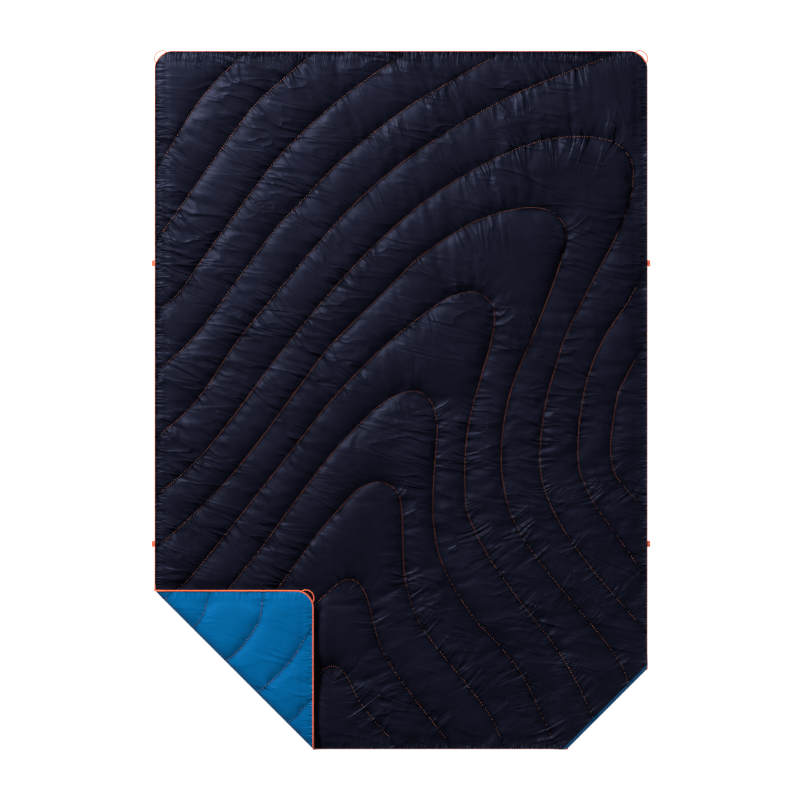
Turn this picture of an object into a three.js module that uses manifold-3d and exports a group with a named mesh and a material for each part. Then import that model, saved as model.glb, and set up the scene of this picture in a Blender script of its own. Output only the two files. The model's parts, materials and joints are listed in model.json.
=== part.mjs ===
// A quilted camp blanket lying flat with its face up. One foot corner is folded over the face
// and the other is folded under. Millimetres, +Z up, +Y towards the head end. The origin is on
// the surface that the blanket lies on, under the middle of its width and length.
//
// Both folded corners are drawn opened out, as part of the same panel, and a group then turns
// each one half a turn about its fold line.

import * as THREE from 'three';
import { ConvexGeometry } from 'three/addons/geometries/ConvexGeometry.js';
import { mergeVertices } from 'three/addons/utils/BufferGeometryUtils.js';
import Module from 'manifold-3d';

const wasm = await Module();
wasm.setup();

// The opened blanket
const width = 1320;
const length = 1870;
const cornerRadius = 48;
const loft = 20;
const shellWall = 1;
const pipingDiameter = 4;

// The folded corners: each leg runs from the square corner along both edges to the fold line
const frontLeg = 428;
const underLeg = 216;
const underLoft = 11;
const foldSetback = 1;
const rolledLip = 10;
const rampRun = 40;
const rampClearance = 6;

// The sewn lines
const threadWidth = 1.2;
const threadHeight = 0.8;
const seamWidth = 1.2;

// The cord loops at the corners and the tabs on the long edges
const loopCord = 3.2;
const loopWidth = 40;
const loopReach = 11;
const tabLength = 16;
const tabReach = 7;
const tabThickness = 2.4;
const tabHeadY = 366;
const tabFootRise = 122;

// Fits and drawing aids
const gap = 0.3;
const overcut = 20;
const beyond = 260;
const runOut = 120;

// Heights and places that follow from the sizes above
const threadTop = gap + threadHeight;
const frontPivotZ = loft + (threadTop + gap) / 2;
const coverUnderside = underLoft + threadTop + gap;
const underPivotZ = (underLoft + coverUnderside) / 2;
const underBase = 2 * underPivotZ - underLoft;
const shellInset = pipingDiameter + gap;
const fillInset = shellInset + shellWall + gap;
const tabFootY = frontLeg - length / 2 + tabFootRise;

// The quilting lines, drawn on a panel of 1320 by 1870 and stretched with it. Each divides the
// panel, and round lists the panel's corners that its inner side holds.
const drawnWidth = 1320;
const drawnLength = 1870;
const quiltLines = [
  { round: ['headRight', 'footRight', 'footLeft'], inner: [1],
    points: [[-633, 651], [-555, 778], [-496, 852], [-440, 908]] },
  { round: ['headRight', 'footRight', 'footLeft'], inner: [2],
    points: [[-636, 452], [-542, 585], [-440, 727], [-384, 797], [-319, 856], [-255, 910]] },
  { round: ['headRight', 'footRight', 'footLeft'], inner: [3],
    points: [[-639, 247], [-590, 292], [-523, 388], [-341, 633], [-225, 751], [-118, 840], [-19, 907]] },
  { round: ['headRight', 'footRight', 'footLeft'], inner: [4],
    points: [[-636, 90], [-571, 150], [-502, 233], [-351, 439], [-276, 521], [-156, 644],
      [-3, 769], [105, 836], [233, 910]] },
  { round: ['headRight', 'footRight', 'footLeft'], inner: [5, 12],
    points: [[-639, -87], [-582, -39], [-523, 30], [-437, 158], [-335, 284], [-182, 464],
      [-46, 596], [89, 695], [247, 789], [370, 847], [537, 912]] },
  { round: ['footRight', 'footLeft'], inner: [6],
    points: [[-639, -244], [-558, -173], [-478, -82], [-310, 141], [-185, 292], [-51, 432],
      [97, 555], [258, 649], [368, 691], [445, 704], [518, 703], [577, 686], [612, 649],
      [622, 606], [612, 529], [577, 440], [499, 290], [445, 180], [416, 94], [389, -1],
      [374, -107], [373, -182], [392, -260], [445, -362], [523, -466], [628, -589]] },
  { round: ['footLeft'], inner: [7],
    points: [[-633, -378], [-563, -313], [-472, -223], [-386, -118], [-276, 30], [-182, 152],
      [-40, 292], [48, 380], [169, 462], [255, 498], [335, 515], [394, 508], [429, 482],
      [443, 440], [429, 373], [401, 292], [351, 166], [310, 70], [284, -16], [270, -113],
      [271, -201], [292, -298], [335, -381], [412, -484], [563, -668], [604, -746], [625, -848]] },
  { round: ['footLeft'], inner: [8],
    points: [[-639, -542], [-550, -459], [-384, -252], [-287, -129], [-185, 0], [-83, 107],
      [8, 188], [107, 262], [164, 286], [204, 287], [236, 266], [251, 228], [241, 153],
      [217, 70], [185, -50], [172, -148], [172, -241], [180, -306], [231, -413], [319, -539],
      [390, -629], [452, -722], [507, -832], [534, -904]] },
  { round: ['footLeft'], inner: [9],
    points: [[-633, -651], [-580, -631], [-507, -561], [-393, -421], [-300, -295], [-199, -162],
      [-126, -80], [-54, -13], [-3, 16], [35, 24], [64, 13], [86, -16], [97, -67], [94, -134],
      [87, -228], [87, -322], [102, -413], [137, -494], [199, -588], [266, -660], [333, -751],
      [402, -901]] },
  { round: ['footLeft'], inner: [10],
    points: [[-633, -798], [-582, -790], [-523, -754], [-475, -706], [-400, -604], [-271, -424],
      [-199, -330], [-126, -250], [-94, -228], [-62, -220], [-32, -227], [-11, -245], [0, -276],
      [5, -349], [7, -429], [13, -488], [40, -578], [94, -660], [228, -829], [266, -904]] },
  { round: [], inner: [11],
    points: [[-531, -910], [-470, -872], [-392, -791], [-298, -657], [-225, -545], [-199, -520],
      [-169, -492], [-142, -480], [-118, -487], [-99, -510], [-83, -555], [-56, -655], [-3, -746],
      [118, -904]] },
  { round: [], inner: [],
    points: [[-350, -910], [-309, -869], [-219, -735], [-201, -718], [-185, -712], [-164, -719],
      [-145, -740], [-103, -818], [-31, -904]] },
  { round: [], inner: [13],
    points: [[628, 299], [601, 252], [542, 161], [499, 56], [478, -59], [474, -140], [480, -193],
      [514, -271], [566, -346], [629, -435]] },
  { round: [], inner: [],
    points: [[626, 106], [604, 64], [580, 11], [562, -113], [566, -174], [585, -217], [631, -268]] },
];
const frontLines = [8, 9, 10, 11];
const underLines = [6, 7];
const stepsPerPoint = 2;

// Materials
const navy = { color: '#1d1f33', roughness: 0.55, metalness: 0 };
const blue = { color: '#0a68a4', roughness: 0.5, metalness: 0 };
const orange = { color: '#e8603c', roughness: 0.75, metalness: 0 };
const wadding = { color: '#e9e7e1', roughness: 0.95, metalness: 0 };

// --- Solids ---------------------------------------------------------------------------------

function solid(geometry) {
  geometry.deleteAttribute('normal');
  geometry.deleteAttribute('uv');
  const merged = mergeVertices(geometry);
  const vertProperties = new Float32Array(merged.attributes.position.array);
  const triVerts = new Uint32Array(merged.index.array);
  return new wasm.Manifold(new wasm.Mesh({ numProp: 3, vertProperties, triVerts }));
}

function geometryOf(manifold) {
  const { vertProperties, triVerts } = manifold.getMesh();
  const geometry = new THREE.BufferGeometry();
  geometry.setAttribute('position', new THREE.BufferAttribute(vertProperties, 3));
  geometry.setIndex(new THREE.BufferAttribute(triVerts, 1));
  geometry.computeVertexNormals();
  return geometry;
}

function part(name, finish, manifold) {
  const mesh = new THREE.Mesh(geometryOf(manifold), new THREE.MeshStandardMaterial(finish));
  mesh.name = name;
  return mesh;
}

function prism(shape, zLow, zHigh) {
  const options = { depth: zHigh - zLow, bevelEnabled: false, curveSegments: 8 };
  return solid(new THREE.ExtrudeGeometry(shape, options).translate(0, 0, zLow));
}

// --- Areas of the panel ------------------------------------------------------------------------

function outlineShape(inset) {
  const x = width / 2 - inset;
  const y = length / 2 - inset;
  const radius = cornerRadius - inset;
  const shape = new THREE.Shape();
  shape.absarc(x - radius, y - radius, radius, 0, Math.PI / 2);
  shape.absarc(radius - x, y - radius, radius, Math.PI / 2, Math.PI);
  shape.absarc(radius - x, radius - y, radius, Math.PI, Math.PI * 1.5);
  shape.absarc(x - radius, radius - y, radius, Math.PI * 1.5, Math.PI * 2);
  return shape;
}

// The foot corner beyond a fold line: side is -1 on the left and 1 on the right, and towards
// moves the cut from the fold line towards the corner.
function cornerPrism(side, leg, towards) {
  const x = side * (width / 2 + overcut);
  const y = -(length / 2 + overcut);
  const reach = leg + 2 * overcut - towards * Math.SQRT2;
  const points = [
    new THREE.Vector2(x, y),
    new THREE.Vector2(x - side * reach, y),
    new THREE.Vector2(x, y + reach),
  ];
  return prism(new THREE.Shape(points), -2 * loft, 4 * loft);
}

function mainArea(inset, setback, lip, zLow, zHigh) {
  return prism(outlineShape(inset), zLow, zHigh)
    .subtract(cornerPrism(-1, frontLeg, -setback))
    .subtract(cornerPrism(1, underLeg, -(setback + lip)));
}

function cornerArea(side, leg, inset, setback, zLow, zHigh) {
  return prism(outlineShape(inset), zLow, zHigh).intersect(cornerPrism(side, leg, setback));
}

// The room under the blanket that the folded-under corner takes, with a ramp along its two edges
function underRoom(growth) {
  const corner = new THREE.Vector2(width / 2 - underLeg, underLeg - length / 2);
  const points = [];
  for (const [z, run] of [[-growth - gap, rampRun], [coverUnderside + growth, rampClearance]]) {
    const x = corner.x - run - growth;
    const y = corner.y + run + growth;
    points.push(new THREE.Vector3(x, y, z));
    points.push(new THREE.Vector3(width / 2 + overcut, y, z));
    points.push(new THREE.Vector3(x, -(length / 2 + overcut), z));
    points.push(new THREE.Vector3(width / 2 + overcut, -(length / 2 + overcut), z));
  }
  return solid(new ConvexGeometry(points));
}

// --- Quilting lines ------------------------------------------------------------------------------

function linePoints(line) {
  const drawn = line.points.map(([x, y]) =>
    new THREE.Vector2(x * width / drawnWidth, y * length / drawnLength));
  return new THREE.SplineCurve(drawn).getPoints((drawn.length - 1) * stepsPerPoint);
}

function runOutPoint(end, before) {
  return end.clone().add(end.clone().sub(before).setLength(runOut));
}

function cutPoints(line) {
  const sewn = linePoints(line);
  const first = runOutPoint(sewn[0], sewn[1]);
  const last = runOutPoint(sewn.at(-1), sewn.at(-2));
  return [first, ...sewn, last];
}

function ribbon(points, ribbonWidth, zLow, zHigh) {
  const left = [];
  const right = [];
  points.forEach((point, i) => {
    const next = points[Math.min(i + 1, points.length - 1)];
    const previous = points[Math.max(i - 1, 0)];
    const along = next.clone().sub(previous).setLength(ribbonWidth / 2);
    left.push(new THREE.Vector2(point.x - along.y, point.y + along.x));
    right.unshift(new THREE.Vector2(point.x + along.y, point.y - along.x));
  });
  return prism(new THREE.Shape([...left, ...right]), zLow, zHigh);
}

function innerSide(line, zLow, zHigh) {
  const corners = {
    headRight: new THREE.Vector2(width / 2 + beyond, length / 2 + beyond),
    footRight: new THREE.Vector2(width / 2 + beyond, -length / 2 - beyond),
    footLeft: new THREE.Vector2(-width / 2 - beyond, -length / 2 - beyond),
  };
  const points = [...cutPoints(line), ...line.round.map((name) => corners[name])];
  return prism(new THREE.Shape(points), zLow, zHigh);
}

// --- Shells and filling ----------------------------------------------------------------------------

function faceTray(area, base, height) {
  const middle = base + (height + gap) / 2;
  const outside = area(shellInset, foldSetback, middle, base + height);
  const inside = area(shellInset + shellWall, foldSetback + shellWall, middle - loft,
    base + height - shellWall);
  return outside.subtract(inside);
}

function liningTray(area, base, height) {
  const middle = base + (height - gap) / 2;
  const outside = area(shellInset, foldSetback, base, middle);
  const inside = area(shellInset + shellWall, foldSetback + shellWall, base + shellWall,
    middle + loft);
  return outside.subtract(inside);
}

function filling(area, base, height) {
  const setback = foldSetback + shellWall + gap;
  return area(fillInset, setback, base + shellWall + gap, base + height - shellWall - gap);
}

function mainPanel() {
  const withLip = (inset, setback, zLow, zHigh) => mainArea(inset, setback, 0, zLow, zHigh);
  const behindLip = (inset, setback, zLow, zHigh) =>
    mainArea(inset, setback, rolledLip, zLow, zHigh);
  const face = faceTray(behindLip, 0, loft).subtract(underRoom(shellWall + gap));
  const cover = withLip(shellInset, foldSetback, 0, coverUnderside + shellWall)
    .intersect(underRoom(shellWall));
  const lining = liningTray(withLip, 0, loft).add(cover).subtract(underRoom(0));
  const fill = filling(behindLip, 0, loft).subtract(underRoom(shellWall + gap));
  return { face, lining, fill };
}

// One channel for the outer side of the first line, then one for the inner side of each line
function fillChannels(fill) {
  const seams = quiltLines.map((line) => ribbon(cutPoints(line), seamWidth, -loft, 2 * loft));
  const sides = quiltLines.map((line) => innerSide(line, -loft, 2 * loft));
  const channels = [fill.subtract(sides[0]).subtract(seams[0])];
  quiltLines.forEach((line, i) => {
    let channel = fill.intersect(sides[i]).subtract(seams[i]);
    for (const j of line.inner) {
      channel = channel.subtract(sides[j]).subtract(seams[j]);
    }
    channels.push(channel);
  });
  return channels;
}

// --- Cords and tabs ----------------------------------------------------------------------------------

// A curve that a sweep follows from one given point to the next
class StationCurve extends THREE.Curve {
  constructor(points) {
    super();
    this.points = points;
  }

  getPointAt(u) {
    const station = u * (this.points.length - 1);
    const i = Math.min(Math.floor(station), this.points.length - 2);
    return this.points[i].clone().lerp(this.points[i + 1], station - i);
  }

  getTangentAt(u) {
    const i = Math.round(u * (this.points.length - 1));
    const next = this.points[Math.min(i + 1, this.points.length - 1)];
    const previous = this.points[Math.max(i - 1, 0)];
    return next.clone().sub(previous).normalize();
  }
}

function cord(points, diameter) {
  const section = new THREE.Shape().absarc(0, 0, diameter / 2, 0, Math.PI * 2);
  const extrudePath = new StationCurve(points);
  const options = { steps: points.length - 1, extrudePath, curveSegments: 4, bevelEnabled: false };
  return solid(new THREE.ExtrudeGeometry(section, options));
}

function cornerArc(sideX, sideY, z) {
  const inset = pipingDiameter / 2;
  const radius = cornerRadius - inset;
  const centreX = sideX * (width / 2 - cornerRadius);
  const centreY = sideY * (length / 2 - cornerRadius);
  const points = [];
  const steps = 6;
  for (let i = 0; i <= steps; i += 1) {
    const angle = (i / steps) * Math.PI / 2;
    const x = centreX + sideX * radius * Math.cos(angle);
    const y = centreY + sideY * radius * Math.sin(angle);
    points.push(new THREE.Vector3(x, y, z));
  }
  return points;
}

const edgeX = width / 2 - pipingDiameter / 2;
const edgeY = length / 2 - pipingDiameter / 2;
const cordSetback = foldSetback + pipingDiameter;

function edgePiping() {
  const z = loft / 2;
  const footLeft = new THREE.Vector3(-edgeX, frontLeg - length / 2 + cordSetback, z);
  const footRight = new THREE.Vector3(edgeX, underLeg + rampRun - length / 2 + cordSetback, z);
  const points = [footLeft, ...cornerArc(-1, 1, z), ...cornerArc(1, 1, z).reverse(), footRight];
  return cord(points, pipingDiameter);
}

function footPiping() {
  const z = loft / 2;
  const left = new THREE.Vector3(frontLeg - width / 2 + cordSetback, -edgeY, z);
  const right = new THREE.Vector3(width / 2 - underLeg - rampRun - cordSetback, -edgeY, z);
  return cord([left, right], pipingDiameter);
}

function cornerPiping(side, leg, z) {
  const edge = new THREE.Vector3(side * edgeX, leg - length / 2 - cordSetback, z);
  const foot = new THREE.Vector3(side * (width / 2 - leg + cordSetback), -edgeY, z);
  return cord([edge, ...cornerArc(side, -1, z), foot], pipingDiameter);
}

// Half an oval of cord that stands out of a rounded corner. Its ends stop just short of the piping.
function cornerLoop(sideX, sideY, z) {
  const halfWidth = loopWidth / 2;
  const innerEdge = halfWidth - loopCord / 2;
  const edgeThere = cornerRadius - Math.sqrt(cornerRadius ** 2 - innerEdge ** 2);
  const start = gap - edgeThere;
  const outward = new THREE.Vector2(sideX, sideY).normalize();
  const across = new THREE.Vector2(-outward.y, outward.x);
  const apex = new THREE.Vector2(sideX * (width / 2 - cornerRadius), sideY * (length / 2 - cornerRadius))
    .addScaledVector(outward, cornerRadius);
  const steps = 16;
  const points = [];
  for (let i = 0; i <= steps; i += 1) {
    const angle = (i / steps) * Math.PI;
    const point = apex.clone()
      .addScaledVector(across, halfWidth * Math.cos(angle))
      .addScaledVector(outward, start + (loopReach - start) * Math.sin(angle));
    points.push(new THREE.Vector3(point.x, point.y, z));
  }
  return cord(points, loopCord);
}

// Folded webbing that stands out of a long edge, with a round root and a round nose
function sideTab(side, y) {
  const half = tabThickness / 2;
  const root = width / 2 + gap + half;
  const nose = width / 2 + tabReach - half;
  const profile = new THREE.Shape();
  profile.absarc(nose, 0, half, -Math.PI / 2, Math.PI / 2);
  profile.absarc(root, 0, half, Math.PI / 2, Math.PI * 1.5);
  const options = { depth: tabLength, bevelEnabled: false, curveSegments: 4 };
  const geometry = new THREE.ExtrudeGeometry(profile, options);
  geometry.rotateX(Math.PI / 2).translate(0, tabLength / 2, 0);
  if (side < 0) {
    geometry.rotateZ(Math.PI);
  }
  return solid(geometry.translate(0, y, loft / 2));
}

// --- Assembly -----------------------------------------------------------------------------------------

// A group whose contents are drawn opened out and lie folded about the line across a foot corner
function foldedGroup(side, leg, pivotZ, meshes) {
  const pivot = new THREE.Vector3(side * (width / 2 - leg / 2), (leg - length) / 2, pivotZ);
  const axis = new THREE.Vector3(side, 1, 0).normalize();
  const turned = new THREE.Group();
  turned.position.copy(pivot);
  turned.quaternion.setFromAxisAngle(axis, Math.PI);
  const drawn = new THREE.Group();
  drawn.position.copy(pivot).negate();
  drawn.add(...meshes);
  turned.add(drawn);
  return turned;
}

function cornerMeshes(name, side, leg, base, height, lines) {
  const area = (inset, setback, zLow, zHigh) => cornerArea(side, leg, inset, setback, zLow, zHigh);
  const beyondFold = cornerPrism(side, leg, foldSetback);
  const middle = base + height / 2;
  const meshes = [
    part(`${name}_face`, navy, faceTray(area, base, height)),
    part(`${name}_lining`, blue, liningTray(area, base, height)),
    part(`${name}_fill`, wadding, filling(area, base, height)),
    part(`${name}_piping`, orange, cornerPiping(side, leg, middle)),
    part(`${name}_corner_loop`, orange, cornerLoop(side, -1, middle)),
  ];
  for (const i of lines) {
    const strip = ribbon(linePoints(quiltLines[i]), threadWidth, base - threadTop, base - gap);
    meshes.push(part(`${name}_${threadName(i)}`, orange, strip.intersect(beyondFold)));
  }
  return meshes;
}

function threadName(i) {
  return `quilt_thread_${twoDigits(i + 1)}`;
}

function twoDigits(number) {
  return String(number).padStart(2, '0');
}

const blanket = new THREE.Group();

const panel = mainPanel();
blanket.add(part('face_shell', navy, panel.face));
blanket.add(part('lining_shell', blue, panel.lining));
fillChannels(panel.fill).forEach((channel, i) => {
  blanket.add(part(`fill_channel_${twoDigits(i + 1)}`, wadding, channel));
});

const frontCorner = cornerPrism(-1, frontLeg, -foldSetback);
const underCorner = cornerPrism(1, underLeg, -(foldSetback + rolledLip));
quiltLines.forEach((line, i) => {
  const strip = ribbon(linePoints(line), threadWidth, loft + gap, loft + threadTop);
  const kept = strip.subtract(frontCorner).subtract(underCorner);
  blanket.add(part(threadName(i), orange, kept));
});

blanket.add(part('edge_piping', orange, edgePiping()));
blanket.add(part('foot_piping', orange, footPiping()));
blanket.add(part('head_left_corner_loop', orange, cornerLoop(-1, 1, loft / 2)));
blanket.add(part('head_right_corner_loop', orange, cornerLoop(1, 1, loft / 2)));

for (const [name, side] of [['left', -1], ['right', 1]]) {
  blanket.add(part(`${name}_head_tab`, orange, sideTab(side, tabHeadY)));
  blanket.add(part(`${name}_foot_tab`, orange, sideTab(side, tabFootY)));
}

const frontMeshes = cornerMeshes('front_flap', -1, frontLeg, 0, loft, frontLines);
blanket.add(foldedGroup(-1, frontLeg, frontPivotZ, frontMeshes));
const underMeshes = cornerMeshes('under_flap', 1, underLeg, underBase, underLoft, underLines);
blanket.add(foldedGroup(1, underLeg, underPivotZ, underMeshes));

export default blanket;
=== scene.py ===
# %% [markdown]
# # A quilted camp blanket
# The blanket is two thin nylon shells with wadding between them, sewn through along long curved
# lines, with a corded edge. It lies flat with one foot corner folded over its face and the other
# folded under. This notebook makes every piece around the fixed CAD frame: the puffed shells by
# cloth simulation, the stitches by Geometry Nodes, and the cords and tabs by sweeping a section.

# %% Load the frame
import json
import math
import bpy
import bmesh
import numpy as np
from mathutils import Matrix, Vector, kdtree


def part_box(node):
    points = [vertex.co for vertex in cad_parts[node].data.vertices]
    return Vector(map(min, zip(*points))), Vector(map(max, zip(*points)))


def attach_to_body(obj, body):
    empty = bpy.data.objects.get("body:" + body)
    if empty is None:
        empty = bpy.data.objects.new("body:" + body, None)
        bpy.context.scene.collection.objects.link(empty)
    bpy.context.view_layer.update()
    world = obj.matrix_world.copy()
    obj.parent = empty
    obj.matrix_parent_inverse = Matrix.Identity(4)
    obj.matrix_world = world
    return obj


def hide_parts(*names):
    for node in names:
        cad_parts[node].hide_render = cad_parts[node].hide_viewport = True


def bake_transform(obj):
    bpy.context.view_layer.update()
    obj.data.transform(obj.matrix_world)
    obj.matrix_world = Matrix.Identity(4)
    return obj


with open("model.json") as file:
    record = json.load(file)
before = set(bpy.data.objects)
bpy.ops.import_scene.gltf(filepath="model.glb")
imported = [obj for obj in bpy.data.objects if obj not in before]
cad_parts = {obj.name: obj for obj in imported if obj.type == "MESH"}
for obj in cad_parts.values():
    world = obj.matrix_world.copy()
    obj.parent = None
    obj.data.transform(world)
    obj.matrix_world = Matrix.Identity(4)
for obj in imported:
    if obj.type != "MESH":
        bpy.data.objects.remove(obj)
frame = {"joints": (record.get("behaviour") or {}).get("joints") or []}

MM = 0.001
scene = bpy.context.scene
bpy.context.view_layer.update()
joints = {joint["name"]: joint for joint in frame["joints"]}

# %% [markdown]
# ## Camera
# The camera looks straight down from well above, so that the edges stay parallel, with the head
# end of the blanket at the top of the picture.

# %% Camera
VIEW_WIDTH = 2.146
LENS = 85.0
SENSOR = 36.0
camera_data = bpy.data.cameras.new("camera")
camera_data.lens = LENS
camera_data.sensor_width = SENSOR
camera = bpy.data.objects.new("camera", camera_data)
camera.location = (-0.0025, 0.0, VIEW_WIDTH * LENS / SENSOR)
scene.collection.objects.link(camera)
scene.camera = camera
print("camera height:", round(camera.location.z, 3), "m")

# %% [markdown]
# ## The flat panel
# A quilted blanket is cut and sewn flat, so every piece is first drawn on one opened-out panel, in
# millimetres, and then laid: most of it stays where it is, and the two foot corners turn over their
# fold lines. The sizes come from the frame's own nodes and joints.

# %% Panel sizes and fold lines
piping_low, piping_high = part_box("edge_piping")
PIPING = (piping_high.z - piping_low.z) / MM
HALF_WIDTH = piping_high.x / MM
HALF_LENGTH = piping_high.y / MM
EDGE_X = HALF_WIDTH - PIPING / 2
EDGE_Y = HALF_LENGTH - PIPING / 2
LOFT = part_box("face_shell")[1].z / MM
MIDDLE = LOFT / 2
CORNER_RADIUS = 46.0
UNDER_LOFT = 11.0
FRONT_PIVOT = np.array(joints["front_fold"]["pos_m"]) / MM
UNDER_PIVOT = np.array(joints["under_fold"]["pos_m"]) / MM
FRONT_AXIS = np.array(joints["front_fold"]["axis"])
UNDER_AXIS = np.array(joints["under_fold"]["axis"])
ROOT2 = math.sqrt(2)
print(f"panel {2 * HALF_WIDTH:.0f} by {2 * HALF_LENGTH:.0f} mm, loft {LOFT:.0f} mm")


def inside_front(x, y):
    """How far inside the front fold line a point of the panel is; negative on the flap."""
    return (x + y - FRONT_PIVOT[0] - FRONT_PIVOT[1]) / ROOT2


def inside_under(x, y):
    """How far inside the under fold line a point of the panel is; negative on the flap."""
    return (UNDER_PIVOT[0] - UNDER_PIVOT[1] - x + y) / ROOT2


def smooth(t):
    t = np.clip(t, 0, 1)
    return t * t * (3 - 2 * t)


# %% [markdown]
# ## Laying the panel
# Each point has a place on the panel and a height above or below the sewn middle. Near a fold line
# the two shells curve together into a rounded nose that ends on the hinge axis, so the two sides
# stay joined at every angle. The blanket rises a little where it lies on the folded-under corner,
# and both layers flatten where they press on each other.

# %% Sizes of the folds and of the pressed places
NOSE_RUN = 26.0
UNDER_NOSE_RUN = 13.0
LIP = 10.0
FOLD_GAP = 0.2
HEM_KEPT = 2.4
UNDER_HALF_LEG = 108.0
RISE = 8.0
RISE_RUN = 48.0
RISEN_FACE_LOSS = 0.12
RISEN_LINING_LOSS = 0.47
FRONT_FLAP_EDGES = (-232.0, -507.0)
PRESS_RUN = 30.0
PRESS_LOSS = 0.38
TAPER_LEAST = 0.3
TAPER_RUN = 45.0
FRONT_FACE_SHARE = 0.62
FRONT_LINING_SHARE = 0.72
UNDER_SHARE = 0.5
print(f"fold noses {NOSE_RUN:.0f} and {UNDER_NOSE_RUN:.0f} mm, rise over the flap {RISE:.0f} mm")

# %% Laying the blanket


def nose(inside, run):
    """The rounded end of a fold: 0 on the fold line, 1 from one run inside it."""
    t = np.clip(inside / run, 0, 1)
    return np.sqrt(1 - (1 - t) ** 2)


def outside(right, up):
    """How far a point is past a corner, from its distances to the right of it and above it."""
    return np.hypot(np.maximum(right, 0), np.maximum(up, 0))


def lay_main(x, y, z):
    past_under_flap = outside(UNDER_PIVOT[0] - UNDER_HALF_LEG - x, y - UNDER_PIVOT[1] - UNDER_HALF_LEG)
    past_front_flap = outside(x - FRONT_FLAP_EDGES[0], y - FRONT_FLAP_EDGES[1])
    lifted = 1 - smooth(past_under_flap / RISE_RUN)
    pressed = 1 - smooth(past_front_flap / PRESS_RUN)
    fold_taper = TAPER_LEAST + (1 - TAPER_LEAST) * smooth((inside_under(x, y) - LIP) / TAPER_RUN)
    above = z * (1 - RISEN_FACE_LOSS * lifted) * (1 - PRESS_LOSS * pressed) * fold_taper
    above = np.maximum(above, np.minimum(z, HEM_KEPT))
    below = z * (1 - RISEN_LINING_LOSS * lifted)
    height = MIDDLE + RISE * lifted + np.where(z > 0, above, below)
    height = FRONT_PIVOT[2] - (FRONT_PIVOT[2] - height) * nose(inside_front(x, y), NOSE_RUN)
    height = UNDER_PIVOT[2] - (UNDER_PIVOT[2] - height) * nose(inside_under(x, y), UNDER_NOSE_RUN)
    return np.stack([x, y, height], axis=1)


print("the middle of the blanket lies at", lay_main(*np.zeros((3, 1))).round(1).tolist()[0])

# %% Laying the two flaps


def fold_over(points, pivot, axis):
    """Points turned half a turn about a fold's axis."""
    offset = points - pivot
    along = (offset @ axis)[:, None] * axis
    return pivot + 2 * along - offset


def lay_front(x, y, z):
    height = MIDDLE + np.where(z > 0, FRONT_FACE_SHARE * z, FRONT_LINING_SHARE * z)
    start = -inside_front(x, y) - FOLD_GAP
    height = FRONT_PIVOT[2] - (FRONT_PIVOT[2] - height) * nose(start, NOSE_RUN)
    return fold_over(np.stack([x, y, height], axis=1), FRONT_PIVOT, FRONT_AXIS)


def lay_under(x, y, z):
    height = 2 * UNDER_PIVOT[2] - UNDER_LOFT / 2 + UNDER_SHARE * z
    start = -inside_under(x, y) - FOLD_GAP
    height = UNDER_PIVOT[2] - (UNDER_PIVOT[2] - height) * nose(start, UNDER_NOSE_RUN)
    return fold_over(np.stack([x, y, height], axis=1), UNDER_PIVOT, UNDER_AXIS)


LAY = {"blanket": lay_main, "front_flap": lay_front, "under_flap": lay_under}
print("laid bodies:", ", ".join(LAY))

# %% [markdown]
# ## Quilting lines
# The sewn lines are long sweeping curves. Each is a short list of points on the panel with a smooth
# curve through them, the same points that the CAD model uses for its threads and channels.

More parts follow.
